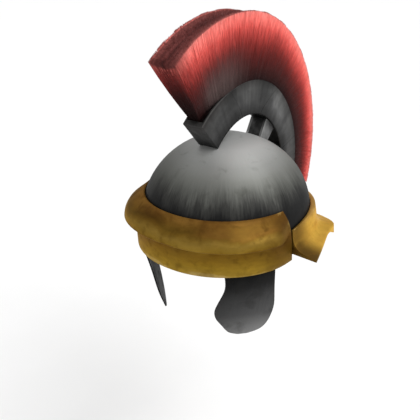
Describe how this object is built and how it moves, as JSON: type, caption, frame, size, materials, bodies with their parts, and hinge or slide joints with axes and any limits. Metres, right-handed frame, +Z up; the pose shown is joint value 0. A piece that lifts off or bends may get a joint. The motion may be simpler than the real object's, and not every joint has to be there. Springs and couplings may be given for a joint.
{
  "type": "crested helmet",
  "caption": "Ancient-style helmet with a steel bowl, a brass brow band and neck guard, hanging cheek guards and a tall horsehair plume on an arched crest box.",
  "frame": {"origin": "middle of the head opening, level with the lower edge of the brow band", "axes": "+X to the wearer's left, -Y to the front of the helmet, +Z up"},
  "size_m": [0.2814, 0.3443, 0.3863],
  "materials": {
    "bowl_steel": "brushed steel, darker near the band",
    "dark_steel": "darkened steel, worn",
    "old_brass": "aged brass with brown patina",
    "bright_brass": "satin brass",
    "horsehair": "dyed horsehair, dark at the root and bright at the tips"
  },
  "bodies": {
    "root": {"skull_bowl": "bowl_steel", "brow_band": "old_brass", "neck_guard": "bright_brass", "cheek_guard_left": "dark_steel", "cheek_guard_right": "dark_steel", "crest_box": "dark_steel", "crest_post": "dark_steel", "crest_stay": "dark_steel", "plume": "horsehair"}
  },
  "joints": []
}
